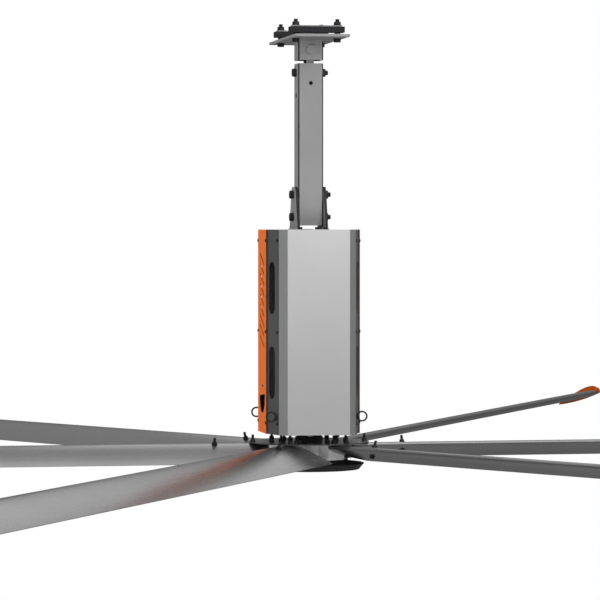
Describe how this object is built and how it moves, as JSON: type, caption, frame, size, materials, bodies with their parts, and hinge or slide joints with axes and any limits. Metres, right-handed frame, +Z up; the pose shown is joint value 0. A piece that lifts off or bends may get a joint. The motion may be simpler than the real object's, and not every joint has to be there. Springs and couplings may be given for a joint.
{
  "type": "industrial ceiling fan",
  "caption": "Large slow ceiling fan with long aluminium blades, a geared drive in a tall housing, a drop tube on a crossed swivel and a beam clamp.",
  "frame": {"origin": "centre of the ceiling plate's top face, midway between the four clamp bolts", "axes": "+Z up along the fan's axis, +X across the ceiling plate, front cover towards -Y"},
  "size_m": [7.2998, 6.5396, 1.3972],
  "materials": {
    "fastener_black": "black oxide, slightly oily",
    "clamp_black": "black paint, satin",
    "tube_grey": "grey powder coat",
    "cover_silver": "silver powder coat, satin",
    "panel_graphite": "graphite powder coat",
    "panel_orange": "orange powder coat",
    "rubber_black": "matt black rubber",
    "gear_case_iron": "painted cast iron",
    "motor_alloy": "die cast",
    "bright_steel": "machined steel",
    "hub_alloy": "machined casting",
    "blade_alloy": "anodised satin extrusion",
    "tip_orange": "moulded orange",
    "dish_grey": "dark grey powder coat"
  },
  "bodies": {
    "ceiling": {"ceiling_plate": "tube_grey", "clamp_bars": "clamp_black", "clamp_strips": "tube_grey", "clamp_spacers": "fastener_black", "clamp_bolts": "fastener_black", "clamp_nuts": "fastener_black", "yoke_tube": "tube_grey", "yoke_pivot_bolt": "tube_grey", "yoke_pivot_nut": "tube_grey"},
    "link": {"swivel_link": "tube_grey"},
    "drop": {"drop_tube": "tube_grey", "tube_pivot_bolt": "fastener_black", "tube_pivot_nut": "fastener_black", "ear_left": "tube_grey", "ear_right": "tube_grey", "ear_bolts": "fastener_black", "ear_nuts": "fastener_black", "top_plate": "panel_graphite", "bottom_plate": "panel_graphite", "corner_posts": "panel_graphite", "cable_grommet": "rubber_black", "front_cover": "cover_silver", "rear_cover": "cover_silver", "side_panel_front_left": "panel_graphite", "side_panel_front_right": "panel_graphite", "side_panel_rear_left": "panel_graphite", "side_panel_rear_right": "panel_graphite", "vent_panel_left": "panel_orange", "vent_panel_right": "panel_orange", "panel_screws": "fastener_black", "eye_nuts": "fastener_black", "gearbox_case": "gear_case_iron", "gearbox_lid": "gear_case_iron", "gear_bearings": "bright_steel", "shaft_seal": "rubber_black", "motor_case": "motor_alloy", "motor_stator": "bright_steel", "motor_end_cap": "motor_alloy", "control_box": "panel_graphite"},
    "layshaft": {"layshaft": "bright_steel"},
    "motor_rotor": {"motor_rotor": "bright_steel"},
    "rotor": {"output_shaft": "bright_steel", "output_gear": "bright_steel", "shaft_flange": "clamp_black", "flange_screws": "fastener_black", "hub_casting": "hub_alloy", "hub_plate": "hub_alloy", "hub_bolts": "fastener_black", "blade_bolts": "fastener_black", "flange_nuts": "fastener_black", "blade_struts": "bright_steel", "blade_end_plates": "tip_orange", "hub_dish": "dish_grey", "dish_posts": "fastener_black", "blade_1": "blade_alloy", "blade_2": "blade_alloy", "blade_3": "blade_alloy", "blade_4": "blade_alloy", "blade_5": "blade_alloy", "blade_6": "blade_alloy"}
  },
  "joints": [
    {"name": "yoke_swing", "type": "hinge", "parent": "ceiling", "child": "link", "pos_m": [0, 0, -0.0372], "axis": [0, 1, 0], "range_deg": [-7, 7]},
    {"name": "tube_swing", "type": "hinge", "parent": "link", "child": "drop", "pos_m": [0, 0, -0.1072], "axis": [1, 0, 0], "range_deg": [-7, 7]},
    {"name": "rotor_spin", "type": "hinge", "parent": "drop", "child": "rotor", "pos_m": [0, 0, -1.2586], "axis": [0, 0, 1], "continuous": true},
    {"name": "layshaft_spin", "type": "hinge", "parent": "drop", "child": "layshaft", "pos_m": [0, 0.075, -1.2586], "axis": [0, 0, 1], "continuous": true},
    {"name": "motor_spin", "type": "hinge", "parent": "drop", "child": "motor_rotor", "pos_m": [0, 0, -1.2586], "axis": [0, 0, 1], "continuous": true}
  ],
  "couplings": [
    {"joint": "layshaft_spin", "follows": "rotor_spin", "ratio": -4},
    {"joint": "motor_spin", "follows": "rotor_spin", "ratio": 16}
  ]
}
